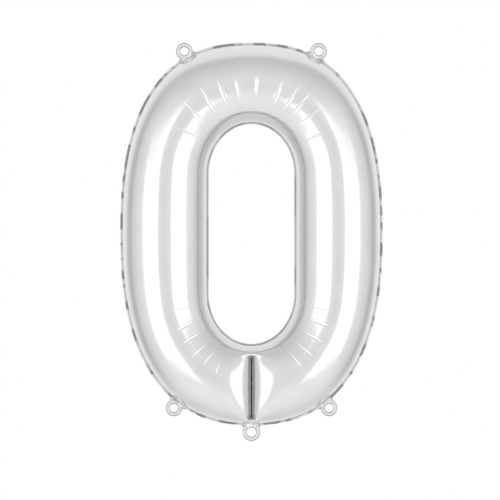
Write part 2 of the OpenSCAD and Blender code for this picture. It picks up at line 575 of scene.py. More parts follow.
def apply_tree(made: bpy.types.Object, tree: bpy.types.NodeTree, **inputs: object) -> bpy.types.Object:
    """Runs a geometry node tree on an object and keeps the result as a plain mesh.

    Args:
        made: The object, which is replaced.
        tree: The tree to run.
        **inputs: Values by input name, with underscores for spaces.

    Returns:
        A new object of the same name with the finished mesh.
    """
    name = made.name
    modifier = made.modifiers.new("shape", "NODES")
    modifier.node_group = tree
    sockets = {item.name: item.identifier for item in tree.interface.items_tree
               if item.item_type == "SOCKET" and item.in_out == "INPUT"}
    for label, value in inputs.items():
        modifier[sockets[label.replace("_", " ")]] = value
    made.update_tag()
    bpy.context.view_layer.update()
    graph = bpy.context.evaluated_depsgraph_get()
    mesh = bpy.data.meshes.new_from_object(made.evaluated_get(graph), depsgraph=graph)
    old = made.data
    bpy.data.objects.remove(made)
    bpy.data.meshes.remove(old)
    mesh.name = name
    finished = bpy.data.objects.new(name, mesh)
    bpy.context.scene.collection.objects.link(finished)
    return finished


# ---------------------------------------------------------------------------
# Geometry trees
# ---------------------------------------------------------------------------


class ShapeTrees:
    """Geometry node trees for what follows a path or a surface, each built once."""

    gather_length = 0.012
    ring_corners = 10

    def __init__(self) -> None:
        """Builds the trees."""
        self.film_relief = self._film_relief()
        self.seal_band = self._seal_band()
        self.crumple = self._crumple()

    @staticmethod
    def _finish(bench: NodeBench, geometry: bpy.types.NodeSocket, material: bpy.types.NodeSocket,
                sink: bpy.types.Node) -> None:
        """Ends a tree in smooth shading, Realize Instances and Set Material.

        Args:
            bench: Bench of the tree.
            geometry: Geometry to finish.
            material: Material input.
            sink: The tree's output node.
        """
        smooth = bench.add("GeometryNodeSetShadeSmooth", {0: geometry}).outputs[0]
        real = bench.add("GeometryNodeRealizeInstances", {0: smooth}).outputs[0]
        dressed = bench.add("GeometryNodeSetMaterial", {0: real, "Material": material}).outputs[0]
        bench.link(dressed, sink.inputs[0])

    @staticmethod
    def _noise(bench: NodeBench, place: bpy.types.NodeSocket, length: bpy.types.NodeSocket,
               seed: bpy.types.NodeSocket, detail: float = 1.0) -> bpy.types.NodeSocket:
        """Noise from -1 to 1 with a length of wave and a seed.

        Args:
            bench: Bench of the tree.
            place: Where each point lies.
            length: Length of the waves.
            seed: Number that picks the pattern.
            detail: Octaves of the noise.

        Returns:
            The noise.
        """
        scale = bench.math("DIVIDE", 1.0, length)
        wave = {"Vector": place, "W": seed, "Scale": scale, "Detail": detail}
        value = bench.add("ShaderNodeTexNoise", wave, noise_dimensions="4D").outputs[0]
        return bench.math("MULTIPLY_ADD", value, 2.0, -1.0)

    def _film_relief(self) -> bpy.types.NodeTree:
        """Fine gathers and slack waves of the film, pushed along its normals.

        Returns:
            The tree.
        """
        tree = new_group(
            "film_relief", "GeometryNodeTree",
            [("Geometry", "NodeSocketGeometry"), ("Gather Height", "NodeSocketFloat", 0.00003),
             ("Gather Pitch", "NodeSocketFloat", 0.003), ("Slack Height", "NodeSocketFloat", 0.0001),
             ("Slack Length", "NodeSocketFloat", 0.04), ("Seed", "NodeSocketFloat", 1.0),
             ("Material", "NodeSocketMaterial")],
            [("Geometry", "NodeSocketGeometry")],
        )
        bench = NodeBench(tree)
        source = bench.add("NodeGroupInput").outputs
        sink = bench.add("NodeGroupOutput")
        seed = source["Seed"]
        across = bench.point_value("across")
        place = bench.vector(bench.point_value("along"), bench.math("MULTIPLY", across, self.gather_length))
        folds = self._noise(bench, place, source["Gather Pitch"], seed)
        folds = bench.math("MULTIPLY", folds, bench.point_value("gather"))
        free = bench.math("SINE", bench.math("MULTIPLY", across, math.pi))
        where = bench.add("GeometryNodeInputPosition").outputs[0]
        slack = bench.math("MULTIPLY", self._noise(bench, where, source["Slack Length"], seed), free)
        rise = bench.math("ADD", bench.math("MULTIPLY", folds, source["Gather Height"]),
                          bench.math("MULTIPLY", slack, source["Slack Height"]))
        normal = bench.add("GeometryNodeInputNormal").outputs[0]
        offset = bench.add("ShaderNodeVectorMath", {0: normal, "Scale": rise}, operation="SCALE").outputs[0]
        self._finish(bench, bench.move(source["Geometry"], offset), source["Material"], sink)
        return tree

    def _seal_band(self) -> bpy.types.NodeTree:
        """A fused band swept along a closed path, whose free edge flutters to front and back.

        Returns:
            The tree.
        """
        tree = new_group(
            "seal_band", "GeometryNodeTree",
            [("Geometry", "NodeSocketGeometry"), ("Width", "NodeSocketFloat", 0.0018),
             ("Thickness", "NodeSocketFloat", 0.0003), ("Flutter Height", "NodeSocketFloat", 0.0005),
             ("Flutter Length", "NodeSocketFloat", 0.012), ("Seed", "NodeSocketFloat", 1.0),
             ("Material", "NodeSocketMaterial")],
            [("Geometry", "NodeSocketGeometry")],
        )
        bench = NodeBench(tree)
        source = bench.add("NodeGroupInput").outputs
        sink = bench.add("NodeGroupOutput")
        path = bench.add("GeometryNodeMeshToCurve", {0: source["Geometry"]}).outputs[0]
        facing = {0: path, "Normal": (0.0, -1.0, 0.0)}
        path = bench.add("GeometryNodeSetCurveNormal", facing, mode="FREE").outputs[0]
        circle = {"Resolution": self.ring_corners, "Radius": 1.0}
        ring = bench.add("GeometryNodeCurvePrimitiveCircle", circle).outputs[0]
        where = bench.add("GeometryNodeInputPosition").outputs[0]
        edge = bench.add("ShaderNodeSeparateXYZ", {0: where}).outputs[1]
        mark = {"Geometry": ring, "Name": "edge", "Value": edge}
        store = "GeometryNodeStoreNamedAttribute"
        kept = bench.add(store, mark, data_type="FLOAT", domain="POINT").outputs[0]
        size = bench.vector(bench.math("MULTIPLY", source["Thickness"], 0.5),
                            bench.math("MULTIPLY", source["Width"], 0.5), 1.0)
        profile = bench.add("GeometryNodeTransform", {"Geometry": kept, "Scale": size}).outputs[0]
        band = bench.add("GeometryNodeCurveToMesh", {"Curve": path, "Profile Curve": profile}).outputs[0]
        loose = bench.spread(bench.point_value("edge"), -0.6, 1.0, 0.0, 1.0, smooth=True)
        flutter = bench.math("MULTIPLY", self._noise(bench, where, source["Flutter Length"], source["Seed"]),
                             source["Flutter Height"])
        offset = bench.vector(0.0, bench.math("MULTIPLY", flutter, loose))
        self._finish(bench, bench.move(band, offset), source["Material"], sink)
        return tree

    def _crumple(self) -> bpy.types.NodeTree:
        """Small folds in a flat tongue of film, as deep as its fold attribute says.

        Returns:
            The tree.
        """
        tree = new_group(
            "crumple", "GeometryNodeTree",
            [("Geometry", "NodeSocketGeometry"), ("Fold Height", "NodeSocketFloat", 0.0004),
             ("Fold Length", "NodeSocketFloat", 0.004), ("Seed", "NodeSocketFloat", 1.0),
             ("Material", "NodeSocketMaterial")],
            [("Geometry", "NodeSocketGeometry")],
        )
        bench = NodeBench(tree)
        source = bench.add("NodeGroupInput").outputs
        sink = bench.add("NodeGroupOutput")
        place = bench.add("GeometryNodeInputPosition").outputs[0]
        where = bench.add("ShaderNodeSeparateXYZ", {0: place}).outputs
        flat = bench.vector(where[0], 0.0, where[2])
        folds = self._noise(bench, flat, source["Fold Length"], source["Seed"])
        rise = bench.math("MULTIPLY", bench.math("MULTIPLY", folds, bench.point_value("fold")),
                          source["Fold Height"])
        moved = bench.move(source["Geometry"], bench.vector(0.0, rise))
        self._finish(bench, moved, source["Material"], sink)
        return tree


# ---------------------------------------------------------------------------
# The figure's outlines
# ---------------------------------------------------------------------------


@dataclass(frozen=True)
class ColumnLines:
    """Lines across the tube from the window's edge to the rim's edge, one for each station round the figure.

    Places are [x, z] in the middle plane, from the figure's middle, in metres.
    """

    window: np.ndarray
    rim: np.ndarray
    window_way: np.ndarray
    rim_way: np.ndarray


@dataclass(frozen=True)
class NoughtOutline:
    """The rim and the window of the figure."""

    half_width: float
    half_height: float
    middle_z: float
    window_half_width: float
    window_half_height: float
    window_end: float = 44.0 * MM
    top_squareness: float = 2.5
    bottom_squareness: float = 2.4
    straight_share: float = 0.36
    fan_start: float = 14.5

    @classmethod
    def of_frame(cls, window_seal: float = 1.5 * MM) -> "NoughtOutline":
        """Reads the outlines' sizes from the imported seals.

        Args:
            window_seal: Width of the window's seal with the film's thickness.

        Returns:
            The outline.
        """
        rim_low, rim_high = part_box("outer_rim_seal")
        low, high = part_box("window_seal")
        return cls(
            half_width=(rim_high.x - rim_low.x) / 2,
            half_height=(rim_high.z - rim_low.z) / 2,
            middle_z=(rim_high.z + rim_low.z) / 2,
            window_half_width=(high.x - low.x) / 2 - window_seal,
            window_half_height=(high.z - low.z) / 2 - window_seal,
        )

    @property
    def window_straight(self) -> float:
        """Half the height of the window's straight sides."""
        return self.window_half_height - self.window_end

    def quadrant(self, turn: np.ndarray) -> tuple[np.ndarray, np.ndarray, np.ndarray, np.ndarray]:
        """Share of a quarter, the signs of x and z, and the squareness, for turns counted in quarters.

        Args:
            turn: Quarters round the figure from the right, by way of the top.

        Returns:
            Share of the quarter from the side, sign of x, sign of z, and squareness.
        """
        turn = np.mod(turn, 4.0)
        quarter = np.minimum(turn.astype(int), 3)
        share = np.choose(quarter, [turn, 2 - turn, turn - 2, 4 - turn])
        sign_x = np.choose(quarter, [1.0, -1.0, -1.0, 1.0])
        sign_z = np.choose(quarter, [1.0, 1.0, -1.0, -1.0])
        square = np.where(sign_z > 0, self.top_squareness, self.bottom_squareness)
        return share, sign_x, sign_z, square

    def fan_angle(self, share: np.ndarray) -> np.ndarray:
        """Angle round the window's end, in degrees, that belongs to a share of the quarter."""
        return 90.0 * np.maximum(share - self.straight_share, 0.0) / (1.0 - self.straight_share)

    def turn_of(self, corner: Corner, angle: float) -> float:
        """Turn in quarters of a fan angle in one corner.

        Args:
            corner: The corner.
            angle: Fan angle, in degrees from the side.

        Returns:
            The turn.
        """
        share = self.straight_share + (1.0 - self.straight_share) * angle / 90.0
        return {Corner.TOP_RIGHT: share, Corner.TOP_LEFT: 2 - share,
                Corner.BOTTOM_LEFT: 2 + share, Corner.BOTTOM_RIGHT: 4 - share}[corner]

    def rim_way(self, points: np.ndarray, square: np.ndarray, inset: float) -> np.ndarray:
        """Outward directions of the rim.

        Args:
            points: Points of the rim's outline.
            square: Squareness at each point.
            inset: How far the outline lies inside the rim.

        Returns:
            One unit vector for each point.
        """
        half = np.array([self.half_width - inset, self.half_height - inset])
        slope = np.sign(points) * np.abs(points / half) ** (square[:, None] - 1.0) / half
        return slope / np.linalg.norm(slope, axis=1, keepdims=True)

    def fan_lines(self, turn: np.ndarray, inset: float, outset: float) -> ColumnLines:
        """Lines that fan out from the window to the rim.

        Args:
            turn: Quarters round the figure from the right, by way of the top.
            inset: How far the outer ends lie inside the rim.
            outset: How far the inner ends lie outside the window's edge.

        Returns:
            The lines.
        """
        share, sign_x, sign_z, square = self.quadrant(turn)
        fan = self.fan_angle(share)
        lean = np.radians(fan)
        half = np.array([self.half_width - inset, self.half_height - inset])
        end = np.array([self.window_half_width + outset, self.window_end + outset])
        beside_share = np.minimum(share / self.straight_share, 1.0)
        window = np.stack([
            sign_x * end[0] * np.cos(lean),
            sign_z * (self.window_straight * beside_share + end[1] * np.sin(lean)),
        ], axis=1)
        start = half[1] * math.sin(math.radians(self.fan_start)) ** (2.0 / square)
        beside = np.arcsin((start * beside_share / half[1]) ** (square / 2.0))
        fanned = np.radians(fan + self.fan_start * (1.0 - fan / 90.0) ** 2.5)
        angle = np.where(share < self.straight_share, beside, fanned)
        rim = np.stack([
            sign_x * half[0] * np.maximum(np.cos(angle), 0.0) ** (2.0 / square),
            sign_z * half[1] * np.maximum(np.sin(angle), 0.0) ** (2.0 / square),
        ], axis=1)
        way = np.stack([sign_x * np.cos(lean) / end[0], sign_z * np.sin(lean) / end[1]], axis=1)
        way /= np.linalg.norm(way, axis=1, keepdims=True)
        return ColumnLines(window, rim, way, self.rim_way(rim, square, inset))

    def lower_lines(self, window_x: np.ndarray, rim_x: np.ndarray, upright: np.ndarray, inset: float,
                    outset: float) -> ColumnLines:
        """Lines at the bottom of the figure, given where they start and end from side to side.

        Args:
            window_x: Where each line leaves the window's edge.
            rim_x: Where each line meets the rim.
            upright: 1 where a line is to stand upright, 0 where it follows the outlines' directions.
            inset: How far the outer ends lie inside the rim.
            outset: How far the inner ends lie outside the window's edge.

        Returns:
            The lines.
        """
        half = np.array([self.half_width - inset, self.half_height - inset])
        end = np.array([self.window_half_width + outset, self.window_end + outset])
        square = np.full(len(rim_x), self.bottom_squareness)
        rim_z = -half[1] * (1.0 - np.abs(rim_x / half[0]) ** square) ** (1.0 / square)
        rim = np.stack([rim_x, rim_z], axis=1)
        rise = np.sqrt(1.0 - (window_x / end[0]) ** 2)
        window = np.stack([window_x, -self.window_straight - end[1] * rise], axis=1)
        down = np.array([0.0, -1.0])
        way = np.stack([window_x / end[0] ** 2, -rise / end[1]], axis=1)
        way /= np.linalg.norm(way, axis=1, keepdims=True)
        window_way = way + (down - way) * upright[:, None]
        out = self.rim_way(rim, square, inset)
        rim_way = out + (down - out) * upright[:, None]
        return ColumnLines(window, rim, window_way / np.linalg.norm(window_way, axis=1, keepdims=True),
                           rim_way / np.linalg.norm(rim_way, axis=1, keepdims=True))

    def loop(self, inset: float | None, outset: float, step: float) -> np.ndarray:
        """Evenly spaced points round the rim or the window.

        Args:
            inset: How far inside the rim the loop lies, or None for the window.
            outset: How far outside the window's edge the loop lies.
            step: Distance between points.

        Returns:
            Points as [x, z] from the figure's middle.
        """
        turn = np.linspace(0.0, 4.0, 8001)
        lines = self.fan_lines(turn, inset or 0.0, outset)
        points = lines.window if inset is None else lines.rim
        gaps = np.linalg.norm(np.diff(points, axis=0), axis=1)
        run = np.concatenate([[0.0], np.cumsum(gaps)])
        even = np.linspace(0.0, run[-1], int(run[-1] / step), endpoint=False)
        return np.stack([np.interp(even, run, points[:, axis]) for axis in (0, 1)], axis=1)


# ---------------------------------------------------------------------------
# Film panels
# ---------------------------------------------------------------------------


@dataclass(frozen=True)
class Pucker:
    """A fold where the film's spare length on the inner side of the tube gathers.

    Args:
        corner: Corner of the figure that it lies in.
        angle: Its fan angle, in degrees from the side.
        outer: Where it ends, as a share of the way round the film from the window to the rim.
        depth: Depth of its trough.
        width: Half the width of its open outer end.
        lean: How much farther round its outer end lies than its inner end, in degrees.
        inner: Where it starts.
    """

    corner: Corner
    angle: float
    outer: float
    depth: float = 0.34 * MM
    width: float = 1.25 * MM
    lean: float = 0.0
    inner: float = 0.07


MAIN_PUCKERS = (
    Pucker(Corner.TOP_LEFT, 31.0, 0.58, lean=-2.6),
    Pucker(Corner.TOP_LEFT, 46.0, 0.59, lean=1.2),
    Pucker(Corner.TOP_LEFT, 59.5, 0.61, lean=3.0),
    Pucker(Corner.TOP_LEFT, 71.5, 0.61, lean=3.0),
    Pucker(Corner.TOP_LEFT, 82.5, 0.59, lean=1.6),
    Pucker(Corner.TOP_RIGHT, 88.0, 0.63, width=1.4 * MM),
    Pucker(Corner.TOP_RIGHT, 73.0, 0.61, lean=3.2),
    Pucker(Corner.TOP_RIGHT, 63.0, 0.60),
    Pucker(Corner.TOP_RIGHT, 54.5, 0.60),
    Pucker(Corner.TOP_RIGHT, 43.5, 0.59, lean=-3.0),
    Pucker(Corner.TOP_RIGHT, 28.5, 0.57, lean=-2.0),
    Pucker(Corner.BOTTOM_LEFT, 11.0, 0.53, depth=0.12 * MM, width=0.9 * MM),
    Pucker(Corner.BOTTOM_LEFT, 25.0, 0.56, depth=0.2 * MM, width=1.0 * MM, lean=4.0),
    Pucker(Corner.BOTTOM_LEFT, 35.5, 0.55, depth=0.2 * MM, width=1.0 * MM, lean=1.2),
    Pucker(Corner.BOTTOM_LEFT, 46.5, 0.55, depth=0.2 * MM, width=0.9 * MM),
    Pucker(Corner.BOTTOM_LEFT, 56.0, 0.49, depth=0.24 * MM, width=1.0 * MM, lean=1.4),
    Pucker(Corner.BOTTOM_LEFT, 66.0, 0.51, depth=0.24 * MM, width=1.0 * MM, lean=2.5),
    Pucker(Corner.BOTTOM_RIGHT, 67.0, 0.51, depth=0.32 * MM, width=1.0 * MM, lean=2.8),
    Pucker(Corner.BOTTOM_RIGHT, 56.0, 0.52, depth=0.24 * MM, width=1.0 * MM),
    Pucker(Corner.BOTTOM_RIGHT, 45.5, 0.57, depth=0.2 * MM, width=0.9 * MM, lean=-0.9),
    Pucker(Corner.BOTTOM_RIGHT, 34.0, 0.56, depth=0.24 * MM, width=1.1 * MM),
    Pucker(Corner.BOTTOM_RIGHT, 22.5, 0.56, depth=0.2 * MM, width=1.0 * MM),
    Pucker(Corner.BOTTOM_RIGHT, 11.5, 0.54, depth=0.12 * MM, width=0.9 * MM),
)


@dataclass(frozen=True)
class WeldPinch:
    """How the cross weld draws the two films together."""

    half_width: float
    top: float
    bottom: float
    strip_half: float = 0.3 * MM
    reach: float = 41.0 * MM
    end_reach: float = 0.14
    end_share: float = 0.85
    power: float = 4.4
    boxiness: float = 3.4
    rest: float = 0.12 * MM
    length_slack: float = 1.12
    roundness: float = 0.45
    boxy_half: float = 19.0 * MM
    boxy_start: float = 60.0 * MM
    boxy_run: float = 20.0 * MM
    above: float = 2.0 * MM
    crinkle_half: float = 2.0 * MM
    crinkle_fade: float = 0.9 * MM

    @classmethod
    def of_frame(cls, middle_z: float) -> "WeldPinch":
        """Reads the weld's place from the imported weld.

        Args:
            middle_z: Height of the figure's middle.

        Returns:
            The pinch.
        """
        low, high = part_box("cross_weld")
        return cls(half_width=(high.x - low.x) / 2, top=high.z - middle_z, bottom=low.z - middle_z)

    def press(self, x: np.ndarray, z: np.ndarray, full: np.ndarray, across: np.ndarray, crown: np.ndarray,
              window_edge: float, rim_edge: float) -> np.ndarray:
        """How far the film stands off the middle plane once the weld holds it down.

        Args:
            x: Sideways places of the film's points.
            z: Heights of the points from the figure's middle.
            full: How far the film would stand without the weld.
            across: Share of the way round the film from the window to the rim.
            crown: How far the film would stand at the tube's crest.
            window_edge: Height of the film's edge at the window, below the middle.
            rim_edge: Height of the film's edge at the rim.

        Returns:
            How far the film stands.
        """
        middle, half = (self.top + self.bottom) / 2, (self.top - self.bottom) / 2
        along = np.clip(1.0 - ((z - middle) / (half * self.length_slack)) ** 2, 0.0, 1.0)
        reach = self.reach * (self.end_reach + (1.0 - self.end_reach) * along ** self.roundness)
        past = np.maximum(z - self.top, 0.0) / (self.end_share * (window_edge - self.top))
        past = past + np.maximum(self.bottom - z, 0.0) / (self.end_share * (self.bottom - rim_edge))
        aside = np.maximum(np.abs(x) - self.strip_half, 0.0) / reach
        rise = 1.0 - (1.0 - np.clip(np.hypot(aside, past), 0.0, 1.0)) ** self.power
        level = np.abs(np.cos(math.pi * across))
        boxy = crown * (1.0 - level ** self.boxiness) ** (1.0 / self.boxiness)
        near = np.exp(-(x / self.boxy_half) ** 2) * smooth_step((-z - self.boxy_start) / self.boxy_run)
        full = full + np.maximum(boxy - full, 0.0) * near
        floor = np.minimum(self.rest, full)
        held = (floor ** self.power + (full ** self.power - floor ** self.power) * rise) ** (1.0 / self.power)
        return np.where(z < window_edge + self.above, held, full)

    def crinkle(self, x: np.ndarray, z: np.ndarray) -> np.ndarray:
        """Where the film beside the weld is too finely crinkled to shine.

        Args:
            x: Sideways places of the film's points.
            z: Heights of the points from the figure's middle.

        Returns:
            The share, 1 where the film is dullest.
        """
        low, high = self.bottom - self.above, self.top + self.above
        within = smooth_step((z - low) / self.above) * smooth_step((high - z) / self.above)
        return smooth_step((self.crinkle_half - np.abs(x)) / self.crinkle_fade) * within


@dataclass
class FilmPanel:
    """One of the two big films, swollen into a half tube between the seals."""

    outline: NoughtOutline
    pinch: WeldPinch
    side: Side
    rim_seal: float = 1.8 * MM
    window_seal: float = 1.4 * MM
    fullness: float = 0.97
    columns: int = 980
    rows: int = 100
    samples: int = 4096
    blend_half: float = 38.0 * MM
    pinch_columns: int = 44
    pillow_height: float = 0.14 * MM
    fold_height: float = 0.05 * MM
    fold_place: float = 0.235
    join_angle: float = 60.0
    pinch_span: float = 30.0 * MM
    # Strength and reach of the painted shade band on the film next to the window seal.
    hem_shade_strength: float = 0.12
    hem_shade_end: float = 0.24
    film_gap: float = 0.1 * MM
    cut_size: tuple[float, float] = (0.309, 0.409)
    cut_area: float = 0.0765
    seed: float = 3.0

    @property
    def name(self) -> str:
        """Name of the finished piece."""
        return f"{self.side.name.lower()}_film"

    def _sample_lines(self) -> tuple[ColumnLines, np.ndarray, np.ndarray, np.ndarray]:
        """Lines across the tube, from the bottom centre round by the right and the top.

        Returns:
            The lines, the turn of each, its offset from the weld or NaN, and its station.
        """
        ends = {"inset": self.rim_seal, "outset": self.window_seal}
        turn_joint = self.outline.turn_of(Corner.BOTTOM_RIGHT, self.join_angle)
        joint = self.outline.fan_lines(np.array([turn_joint]), **ends)
        window_gain = joint.window[0, 0] / self.blend_half
        rim_gain = joint.rim[0, 0] / self.blend_half
        offset = np.linspace(-self.blend_half, self.blend_half, 1601)
        weld_half = self.pinch.half_width
        ease = smooth_step((np.abs(offset) - weld_half) / (self.blend_half - weld_half))
        lower = self.outline.lower_lines(
            offset * (1.0 + (window_gain - 1.0) * ease),
            offset * (1.0 + (rim_gain - 1.0) * ease), 1.0 - ease, **ends)
        turn = np.linspace(turn_joint, 10.0 - turn_joint, 6001)[1:-1]
        upper = self.outline.fan_lines(turn, **ends)
        half = len(offset) // 2
        parts = []
        for low, high in zip((lower.window, lower.rim, lower.window_way, lower.rim_way),
                             (upper.window, upper.rim, upper.window_way, upper.rim_way)):
            parts.append(np.concatenate([low[half:], high, low[:half + 1]]))
        lower_turn = 3.0 + offset / self.blend_half * (turn_joint - 3.0)
        turns = np.concatenate([lower_turn[half:], turn, lower_turn[:half + 1] + 4.0])
        gone = np.full(len(turn), np.nan)
        offsets = np.concatenate([offset[half:], gone, offset[:half + 1]])
        middle = (parts[0] + parts[1]) / 2
        gaps = np.linalg.norm(np.diff(middle, axis=0), axis=1)
        station = np.concatenate([[0.0], np.cumsum(gaps)])
        return ColumnLines(*parts), turns, offsets, station

    def _column_stations(self, turns: np.ndarray, offsets: np.ndarray, station: np.ndarray) -> np.ndarray:
        """Where the mesh's columns stand: close together in puckers and beside the weld.

        Args:
            turns: Turn of each sample line.
            offsets: Offset of each sample line from the weld, or NaN.
            station: Station of each sample line.

        Returns:
            Stations of the columns, starting at the bottom centre.
        """
        length = station[-1]
        half = np.flatnonzero(np.isnan(offsets))[0]
        share = np.linspace(0.0, 1.0, self.pinch_columns + 1)
        beside = self.pinch.strip_half + self.pinch_span * share ** 3
        flat = np.linspace(0.0, self.pinch.strip_half, 4)[:-1]
        right = np.interp(np.concatenate([flat, beside]), offsets[:half], station[:half])
        left = length - right[1:][::-1]
        even = np.linspace(right[-1], left[0], 20001)
        turn = np.interp(even, station, turns)
        quarter = self.outline.quadrant(turn)[0]
        curved = smooth_step((quarter - self.outline.straight_share * 0.9) / 0.06)
        density = 0.45 + 0.75 * curved
        for pucker in MAIN_PUCKERS:
            centre = np.interp(self._pucker_turn(pucker), turns, station)
            density += 1.5 * np.exp(-0.5 * ((even - centre) / (2.0 * MM)) ** 2)
        run = np.concatenate([[0.0], np.cumsum((density[1:] + density[:-1]) / 2)])
        wanted = self.columns - len(right) - len(left)
        between = np.interp(np.linspace(0.0, run[-1], wanted + 2)[1:-1], run, even)
        return np.concatenate([right, between, left])

    def _pucker_turn(self, pucker: Pucker) -> float:
        """Turn of a pucker, counted on from the bottom centre at 3."""
        turn = self.outline.turn_of(pucker.corner, pucker.angle)
        return turn if turn >= 3.0 else turn + 4.0

    def _relief(self, along: np.ndarray, across: np.ndarray, turns: np.ndarray,
                station: np.ndarray) -> tuple[np.ndarray, np.ndarray]:
        """Height of the puckers and of the pillows between them, and where the film gathers.

        Args:
            along: Station of each column.
            across: Share of the way from the window to the rim of each row.
            turns: Turn of each sample line.
            station: Station of each sample line.

        Returns:
            Height at each column and row, and gathering at each column and row from 0 to 1.
        """
        a, v = along[:, None], across[None, :]
        height = np.zeros((len(along), len(across)))
        gather = np.zeros_like(height)
        marks = []
        degree = np.interp(4.5 + 0.5 / 90.0, turns, station) - np.interp(4.5 - 0.5 / 90.0, turns, station)
        degree *= (1.0 - self.outline.straight_share)
        for pucker in sorted(MAIN_PUCKERS, key=self._pucker_turn):
            centre = np.interp(self._pucker_turn(pucker), turns, station)
            marks.append((centre, pucker))
            sense = 1.0 if pucker.corner in (Corner.TOP_RIGHT, Corner.BOTTOM_LEFT) else -1.0
            path = centre + sense * pucker.lean * degree * (v - 0.4) / 0.4
            t = np.clip((v - pucker.inner) / (pucker.outer - pucker.inner), 0.0, 1.0)
            spread = 0.42 + 0.58 * smooth_step((t - 0.35) / 0.4)
            ends = smooth_step(t / 0.12) * smooth_step((1.0 - t) / 0.22)
            deep = pucker.depth * (0.30 + 0.70 * smooth_step((t - 0.3) / 0.4)) * ends
            width = pucker.width * spread * np.maximum(ends, 0.25)
            aside = np.abs(a - path) / width
            height -= deep * np.maximum(1.0 - np.sqrt(aside ** 2 + 0.01), 0.0)
            height += deep * 0.22 * np.exp(-((aside - 1.5) / 0.7) ** 2)
            near = np.exp(-((a - centre) / (7.0 * MM)) ** 2)
            calm = 1.0 - 0.75 * float(smooth_step(np.float64((pucker.angle - 52.0) / 14.0)))
            gather = np.maximum(gather, near * calm * pucker.depth / (0.34 * MM))
        band = smooth_step((v - 0.03) / 0.12) * smooth_step((0.66 - v) / 0.22)
        for (low, first), (high, second) in zip(marks, marks[1:]):
            gap = high - low
            if gap > 30.0 * MM:
                continue
            inside = (a >= low) & (a <= high)
            wave = np.abs(np.sin(math.pi * np.clip((a - low) / gap, 0.0, 1.0))) ** 0.85
            tall = self.pillow_height * min(first.depth, second.depth) / (0.34 * MM)
            tall *= 1.0 - 0.8 * float(smooth_step(np.float64((max(first.angle, second.angle) - 48.0) / 16.0)))
            height += np.where(inside, tall * wave, 0.0) * band
        height += self.fold_height * np.exp(-((v - self.fold_place) / 0.011) ** 2)
        return height, gather * smooth_step((v - 0.12) / 0.2) * smooth_step((0.68 - v) / 0.16)

    def build(self) -> bpy.types.Object:
        """Builds the swollen film as one open sheet.

        Returns:
            The sheet, before its fine relief and its finish.
        """
        lines, turns, offsets, station = self._sample_lines()
        length = station[-1]
        even = np.linspace(0.0, length, self.samples, endpoint=False)
        step = length / self.samples

        def resample(values: np.ndarray) -> np.ndarray:
            """Values of the sample lines at even stations."""
            return np.stack([np.interp(even, station, values[:, axis]) for axis in (0, 1)], axis=1)

        window, rim = resample(lines.window), resample(lines.rim)
        window_way, rim_way = resample(lines.window_way), resample(lines.rim_way)
        across = np.arange(self.rows + 1) / self.rows
        h = ((1.0 - np.cos(math.pi * across)) / 2)[None, :, None]
        reach = np.linalg.norm(rim - window, axis=1)
        span = reach[:, None, None]
        plane = ((2 * h ** 3 - 3 * h ** 2 + 1) * window[:, None, :]
                 + (h ** 3 - 2 * h ** 2 + h) * span * window_way[:, None, :]
                 + (3 * h ** 2 - 2 * h ** 3) * rim[:, None, :]
                 + (h ** 3 - h ** 2) * span * rim_way[:, None, :])
        eased = smooth_round(plane, step, 7.0 * MM)
        free = smooth_step((np.abs(even - length * np.round(even / length)) - 45.0 * MM) / (20.0 * MM))
        bulge = np.sin(math.pi * across)[None, :]
        weight = free[:, None] * bulge ** 0.7
        plane = plane + (eased - plane) * weight[:, :, None]
        depth = smooth_round(reach / 2 * self.fullness, step, 9.0 * MM)[:, None] * bulge

        columns = self._column_stations(turns, offsets, station)
        loop = np.append(even, length)

        def at_columns(values: np.ndarray) -> np.ndarray:
            """Values of the even stations at the mesh's columns."""
            closed = np.concatenate([values, values[:1]])
            flat = closed.reshape(len(closed), -1)
            return np.stack([np.interp(columns, loop, flat[:, n]) for n in range(flat.shape[1])],
                            axis=1).reshape((len(columns),) + values.shape[1:])

        plane, depth = at_columns(plane), at_columns(depth)
        points = np.stack([plane[..., 0], -depth, plane[..., 1]], axis=-1)
        round_way = np.roll(points, -1, axis=0) - np.roll(points, 1, axis=0)
        normal = np.cross(np.gradient(points, axis=1), round_way)
        normal /= np.maximum(np.linalg.norm(normal, axis=-1, keepdims=True), 1e-12)
        normal *= np.where(normal[:, self.rows // 2, 1] > 0, -1.0, 1.0)[:, None, None]
        height, gather = self._relief(columns, across, turns, station)
        points += normal * height[..., None]
        full = np.maximum(-points[..., 1], 0.0)
        window_edge = -self.outline.window_half_height - self.window_seal
        rim_edge = -self.outline.half_height + self.rim_seal
        crown = full[:, self.rows // 2][:, None]
        x, z = points[..., 0], points[..., 2].copy()
        stand = self.pinch.press(x, z, full, across[None, :], crown, window_edge, rim_edge)
        points[..., 1] = self.side.value * (stand + self.film_gap)
        points[..., 2] += self.outline.middle_z
        count, rows = points.shape[:2]
        faces = grid_faces(count, rows, closed=True, flip=self.side is Side.FRONT)
        made = new_mesh_object(self.name, points.reshape(-1, 3), faces)
        set_attribute(made.data, "along", np.repeat(columns[:, None], rows, axis=1))
        set_attribute(made.data, "across", np.repeat(across[None, :], count, axis=0))
        set_attribute(made.data, "gather", gather)
        # Painted shade: a darker band on the film next to the window seal, in place of the film's dark
        # self-reflection there.
        hem_shade = self.hem_shade_strength * smooth_step((self.hem_shade_end - across) / 0.05) * smooth_step(across / 0.02)
        set_attribute(made.data, "painted_shade", np.repeat(hem_shade[None, :], count, axis=0))
        set_attribute(made.data, "crinkle", self.pinch.crinkle(x, z))
        return made

